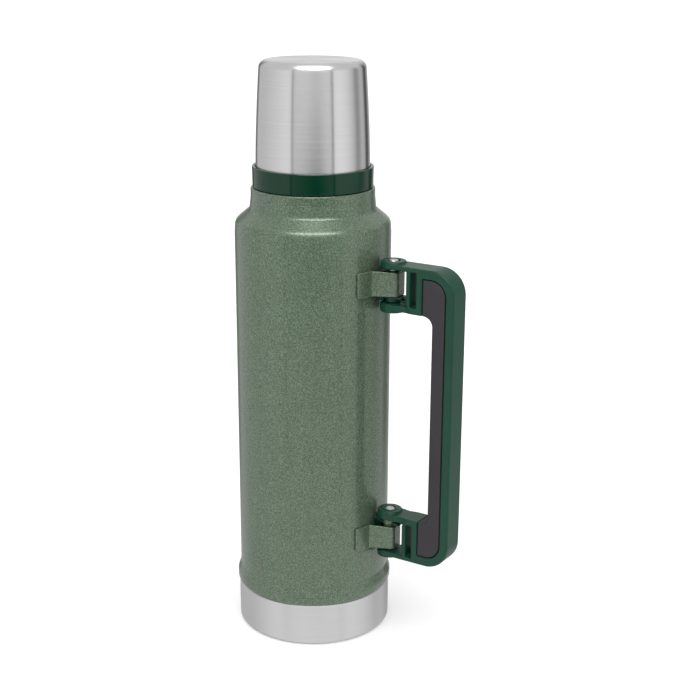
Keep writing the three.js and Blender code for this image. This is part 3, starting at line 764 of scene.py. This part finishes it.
def ribbed_block(name, node):
    """The ribbed block, with the plate that carries on round the pin at the strap's edge."""
    corner_low, corner_high = corners(node)
    ribs = 3
    pitch = (corner_high[X] - corner_low[X]) / (ribs + 0.5)

    def field(p):
        x, y, z = np.moveaxis(p, -1, 0)
        plan = rectangle(x, y, corner_low[X], corner_high[X], corner_low[Y], corner_high[Y], 0.3)
        for i in range(ribs):
            groove_x = corner_low[X] + (i + 0.75) * pitch
            groove = np.hypot(x - groove_x, np.abs(y) - corner_high[Y] - 0.1) - 0.75
            plan = soft_max(plan, -groove, 0.25)
        mid = (corner_low[Z] + corner_high[Z]) / 2
        block = both(plan, np.abs(z - mid) - (corner_high[Z] - corner_low[Z]) / 2, 0.35)
        h = np.abs(z - HANDLE_MID_Z)
        plate_plan = rectangle(x, y, PIN_X - 6, PLATE_OUT_X, -PLATE_HALF_W, PLATE_HALF_W, 2.0)
        plate = both(plate_plan, np.abs(h - (PLATE_LOW_H + PLATE_TOP_H) / 2)
                     - (PLATE_TOP_H - PLATE_LOW_H) / 2, 0.3)
        plate = soft_max(plate, PIN_R + FIT - np.hypot(x - PIN_X, y), 0.2)
        return soft_min(block, plate, 0.2)

    return surface(name, corner_low, [PLATE_OUT_X, *corner_high[1:]], 0.3, field)


def hinge_pin(name, node):
    under, top = low(node, Z), high(node, Z)
    return lathe(name, rounded([
        (0, under + 0.25), (1.2, under + 0.05, 1.0), (PIN_R, under, 0.45), (PIN_R, top, 0.45),
        (1.2, top - 0.05, 1.0), (0, top - 0.25),
    ], closed=False), 96, centre=(PIN_X, 0))


# ---- handle ----
def grip_window(x, h, inset):
    """The opening in the frame that holds the grip insert, made smaller by inset all round."""
    left = PILLAR_X + PILLAR_W + inset
    right = HANDLE_OUT_X - RIM_W - inset
    tall = HANDLE_HALF_H - RIM_W - inset
    radius = HANDLE_CORNER_R - RIM_W - inset
    return np.maximum(rectangle(x, h, left - 40, right, -tall, tall, radius), left - x)


def handle_plan(x, y):
    """The handle from above: straight sides and a round end about the pins."""
    return np.where(x > PIN_X, np.abs(y), np.hypot(x - PIN_X, y)) - HANDLE_HALF_T


def frame_field(p):
    x, y, z = np.moveaxis(p, -1, 0)
    h = np.abs(z - HANDLE_MID_Z)
    side = rectangle(x, h, PIN_X - 60, HANDLE_OUT_X, -HANDLE_HALF_H, HANDLE_HALF_H, HANDLE_CORNER_R)
    side = soft_max(side, -grip_window(x, h, 0), 0.3)
    side = soft_max(side, -np.maximum(x - PILLAR_X - PILLAR_W, h - ARM_IN_H), 0.5)
    fork = rectangle(x, h, PIN_X - 60, PILLAR_X, FORK_IN_H, FORK_OUT_H, 0.9)
    side = soft_max(side, -fork, 0.4)
    bar = rectangle(x, h, FLEX_BAR_X, FLEX_BAR_X + FLEX_BAR_W, FORK_IN_H - 1, FORK_OUT_H + 1)
    side = soft_min(side, bar, 0.5)
    plan = handle_plan(x, y)
    solid = both(side, plan, EDGE_R)
    from_pin = np.hypot(x - PIN_X, y)
    outer_boss = both(from_pin - HANDLE_HALF_T, np.abs(h - (FORK_OUT_H + KNUCKLE_TOP_H) / 2)
                      - (KNUCKLE_TOP_H - FORK_OUT_H) / 2, 0.9)
    inner_boss = both(from_pin - HANDLE_HALF_T, np.abs(h - (KNUCKLE_LOW_H + 0.4 + FORK_IN_H) / 2)
                      - (FORK_IN_H - KNUCKLE_LOW_H - 0.4) / 2, 0.9)
    collar = both(from_pin - 5.0, np.abs(h - (KNUCKLE_LOW_H + FORK_IN_H) / 2)
                  - (FORK_IN_H - KNUCKLE_LOW_H) / 2, 0.35)
    waist = np.hypot(x - WAIST_X, np.abs(y) - WAIST_Y) - WAIST_R
    solid = np.where(h < FORK_IN_H + 1, soft_max(solid, -waist, 1.2), solid)
    solid = soft_min(solid, outer_boss, 0.5)
    solid = soft_min(solid, soft_min(inner_boss, collar, 0.3), 0.5)
    nose_plan = rectangle(x, y, NOSE_IN_X, FLEX_BAR_X + 1, -NOSE_HALF_W, NOSE_HALF_W, 1.2)
    nose = both(nose_plan, np.abs(h - (NOSE_LOW_H + NOSE_TOP_H) / 2)
                - (NOSE_TOP_H - NOSE_LOW_H) / 2, 0.4)
    solid = soft_min(solid, nose, 0.3)
    recess = np.maximum(from_pin - PIN_R - RECESS_W, KNUCKLE_TOP_H - RECESS_H - h)
    solid = soft_max(solid, -recess, 0.35)
    return soft_max(solid, PIN_R + 0.35 - from_pin, 0.3)


def grip_field(p):
    x, y, z = np.moveaxis(p, -1, 0)
    h = np.abs(z - HANDLE_MID_Z)
    opening = rectangle(x, h, 0, GRIP_IN_X, -ARM_IN_H, ARM_IN_H, 6)
    side = soft_max(grip_window(x, h, GROOVE), -opening, 0.4)
    return both(side, np.abs(y) - HANDLE_HALF_T + 0.1, 0.9)


def handle_frame():
    return surface("handle_frame_moulding", *corners("handle_frame"), 0.45, frame_field)


def grip_insert():
    return surface("grip_pad", *corners("grip_insert"), 0.5, grip_field)


# ---- assembly ----
place(painted_shell(), "vessel", "hammertone_paint", "outer_shell")
place(foot(), "vessel", "brushed_base", "base_cup")
place(vacuum_bottom(), "vessel", "inner_steel", "vacuum_bottom")
place(vessel_neck_and_lining(), "vessel", "inner_steel", "inner_vessel")
place(getter(), "vessel", "inner_steel", "getter")
place(cup_steel(), "cup_outer", "brushed_cup", "cup_shell")
place(cup_plastic(), "cup", "green_plastic", "cup_liner")
place(stopper_body(), "stopper", "black_plastic", "stopper_body")
place(stopper_cap(), "stopper", "green_plastic", "stopper_cap")
place(stopper_gasket(), "stopper_seal", "silicone", "stopper_gasket")
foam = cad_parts["stopper_foam"]
foam.data.materials.clear()
foam.data.materials.append(MATERIALS["foam"])
for where in ("upper", "lower"):
    place(strap(f"{where}_strap", f"{where}_bracket"), "vessel", "hammertone_paint",
          f"{where}_bracket")
    bush_look = "handle_plastic" if where == "upper" else "hammertone_paint"
    place(sleeve(f"{where}_sleeve", f"{where}_pivot_sleeve"), "vessel", bush_look,
          f"{where}_pivot_sleeve")
    place(ribbed_block(f"{where}_ribbed_block", f"{where}_detent_block"), "vessel",
          "green_plastic", f"{where}_detent_block")
    place(hinge_pin(f"{where}_pin", f"{where}_hinge_pin"), "handle", "pin_steel",
          f"{where}_hinge_pin")
place(handle_frame(), "handle", "handle_plastic", "handle_frame")
place(grip_insert(), "handle", "grip_rubber", "grip_insert")


# ---- floor, camera and light ----
AZIMUTH = math.radians(33.69)  # of the camera, measured from -Y towards +X
CAMERA_AWAY = 0.8378
CAMERA_UP = 0.4376
PITCH = math.radians(17.80)
YAW = math.radians(-1.60)
ROLL = math.radians(-0.30)
LENS = 70.35
SENSOR = 36.0
SHIFT_UP = 0.0328
FLOOR_R = 30  # metres
LAMP_AIM = (0, 0, 0.2)


def camera():
    data = bpy.data.cameras.new("camera")
    data.sensor_width = SENSOR
    data.lens = LENS
    data.shift_y = SHIFT_UP
    data.clip_end = 100
    made = bpy.data.objects.new("camera", data)
    bpy.context.scene.collection.objects.link(made)
    forward = Vector((-math.sin(YAW) * math.cos(PITCH), math.cos(YAW) * math.cos(PITCH),
                      -math.sin(PITCH)))
    right = Vector((math.cos(YAW), math.sin(YAW), 0))
    up = right.cross(forward)
    right, up = (math.cos(ROLL) * right - math.sin(ROLL) * up,
                 math.sin(ROLL) * right + math.cos(ROLL) * up)
    axes = Matrix((right, up, -forward)).transposed().to_4x4()
    axes.translation = Vector((0, -CAMERA_AWAY, CAMERA_UP))
    made.matrix_world = Matrix.Rotation(AZIMUTH, 4, "Z") @ axes
    bpy.context.scene.camera = made


def floor():
    bm = bmesh.new()
    bmesh.ops.create_circle(bm, cap_ends=True, segments=96, radius=FLOOR_R)
    mesh = bpy.data.meshes.new("floor")
    bm.to_mesh(mesh)
    bm.free()
    made = bpy.data.objects.new("floor", mesh)
    bpy.context.scene.collection.objects.link(made)
    look, tree = new_material("pale_floor")
    mottle = ramp(tree, noise(tree, object_place(tree), 3, 2), (0.3, 0.93), (0.7, 0.95))
    close(tree, Base_Color=mottle, Roughness=0.9)
    mesh.materials.append(look)
    made.visible_glossy = False  # the gloss sees the room all round, below the horizon too


def lamp(name, around, up_deg, away, size, power, lights):
    """A soft box, at an angle round the object from the camera (to its right is positive). It
    lights only the diffuse or only the glossy part of what it falls on."""
    data = bpy.data.lights.new(name, "AREA")
    data.shape = "RECTANGLE"
    data.size, data.size_y = size
    data.energy = power
    made = bpy.data.objects.new(name, data)
    bpy.context.scene.collection.objects.link(made)
    made.visible_camera = False
    made.visible_diffuse = lights == "diffuse"
    made.visible_glossy = lights == "glossy"
    angle = AZIMUTH + math.radians(around)
    rise = math.radians(up_deg)
    back = Vector((math.sin(angle) * math.cos(rise), -math.cos(angle) * math.cos(rise),
                   math.sin(rise)))
    made.location = Vector(LAMP_AIM) + away * back
    made.rotation_euler = back.to_track_quat("Z", "Y").to_euler()


def studio():
    """A white room: even light for the camera and for diffuse rays, and for the gloss a ring of
    soft boxes with gaps between them, a pale floor and one bright box overhead."""
    world = bpy.data.worlds.new("studio")
    bpy.context.scene.world = world
    world.use_nodes = True
    tree = world.node_tree
    tree.nodes.clear()
    direction = add(tree, "ShaderNodeTexCoord").outputs["Generated"]
    turned = add(tree, "ShaderNodeVectorRotate", {
        "Vector": direction, "Axis": (0, 0, 1), "Angle": -AZIMUTH}, rotation_type="AXIS_ANGLE")
    parts = add(tree, "ShaderNodeSeparateXYZ", {"Vector": turned.outputs[0]})
    behind = add(tree, "ShaderNodeMath", {0: parts.outputs["Y"], 1: -1}, operation="MULTIPLY")
    around = add(tree, "ShaderNodeMath", {0: parts.outputs["X"], 1: behind.outputs[0]},
                 operation="ARCTAN2")
    share = add(tree, "ShaderNodeMapRange", {
        "Value": around.outputs[0], "From Min": -math.pi, "From Max": math.pi})
    rise = add(tree, "ShaderNodeMapRange", {"Value": parts.outputs["Z"], "From Min": -1})

    def at(degrees):
        """The place on the ring at an angle round from the camera."""
        return 0.5 + degrees / 360

    def up(degrees):
        """The place on the rise at an angle above the horizon."""
        return 0.5 + math.sin(math.radians(degrees)) / 2

    boxes = ramp(tree, share.outputs["Result"],
                 (at(-180), 0.80), (at(-170), 0.60), (at(-161), 0.15), (at(-152), 0.15),
                 (at(-146), 0.62), (at(-113), 0.70), (at(-82), 0.83), (at(-57), 0.95),
                 (at(-45), 0.97), (at(-43), 0.25), (at(-41), 0.25), (at(-39), 0.84),
                 (at(-13), 0.88), (at(7), 0.78), (at(28), 0.86), (at(38), 0.86),
                 (at(39.5), 0.10), (at(41.5), 0.10), (at(43.5), 1.0), (at(60), 1.0),
                 (at(76), 0.88), (at(92), 0.62), (at(99), 0.36), (at(107), 0.36),
                 (at(115), 0.60), (at(127), 0.58), (at(133), 0.10), (at(144), 0.08),
                 (at(152), 0.40), (at(164), 0.55), (at(171), 0.78), (at(180), 0.80))
    gap = ramp(tree, share.outputs["Result"],
               (at(-44), 1.0), (at(-40), 0.72), (at(-25), 0.45), (at(0), 0.02),
               (at(12), 0.02), (at(30), 0.60), (at(40), 0.72), (at(44), 1.0))
    in_gap = ramp(tree, rise.outputs["Result"],
                  (up(-16), 0.0), (up(-12), 1.0), (up(-6), 1.0), (up(-3), 0.0))
    near_floor = ramp(tree, rise.outputs["Result"], (up(-25), 1.0), (up(-20), 0.0))
    overhead = ramp(tree, rise.outputs["Result"], (up(12), 0.0), (up(30), 1.0))
    walls = mix(tree, in_gap, boxes, mix(tree, 1.0, boxes, gap, "MULTIPLY"))
    lit_floor = ramp(tree, share.outputs["Result"],
                     (at(-180), 0.55), (at(-110), 0.62), (at(-70), 0.92), (at(-20), 1.0),
                     (at(30), 1.0), (at(70), 0.92), (at(110), 0.80), (at(180), 0.55))
    walls = mix(tree, near_floor, walls, lit_floor)
    room = mix(tree, overhead, walls, (0.75, 0.75, 0.75))
    box_up, box_right = math.radians(60), math.radians(3)
    box_way = (math.sin(box_right) * math.cos(box_up), -math.cos(box_right) * math.cos(box_up),
               math.sin(box_up))
    near_box = add(tree, "ShaderNodeVectorMath", {0: turned.outputs[0], 1: box_way},
                   operation="DOT_PRODUCT")
    soft_box = add(tree, "ShaderNodeMapRange", {
        "Value": near_box.outputs["Value"], "From Min": math.cos(math.radians(36)),
        "From Max": math.cos(math.radians(12)), "To Max": 1.0}, interpolation_type="SMOOTHSTEP")
    room = mix(tree, soft_box.outputs["Result"], room, (3.0, 3.0, 3.0))
    path = add(tree, "ShaderNodeLightPath")
    matt = mix(tree, path.outputs["Is Diffuse Ray"], room, (1.15, 1.15, 1.15))
    colour = mix(tree, path.outputs["Is Camera Ray"], matt, (1.0, 1.0, 1.0))
    sky = add(tree, "ShaderNodeBackground", {"Color": colour, "Strength": 1.05})
    add(tree, "ShaderNodeOutputWorld", {"Surface": sky.outputs[0]})


camera()
floor()
studio()
lamp("front_strip", 3, 58, 1.5, (1.4, 0.12), 9, "glossy")
lamp("top_fill", -20, 75, 1.6, (2.4, 2.4), 8, "diffuse")
bpy.context.scene.view_settings.view_transform = "Standard"
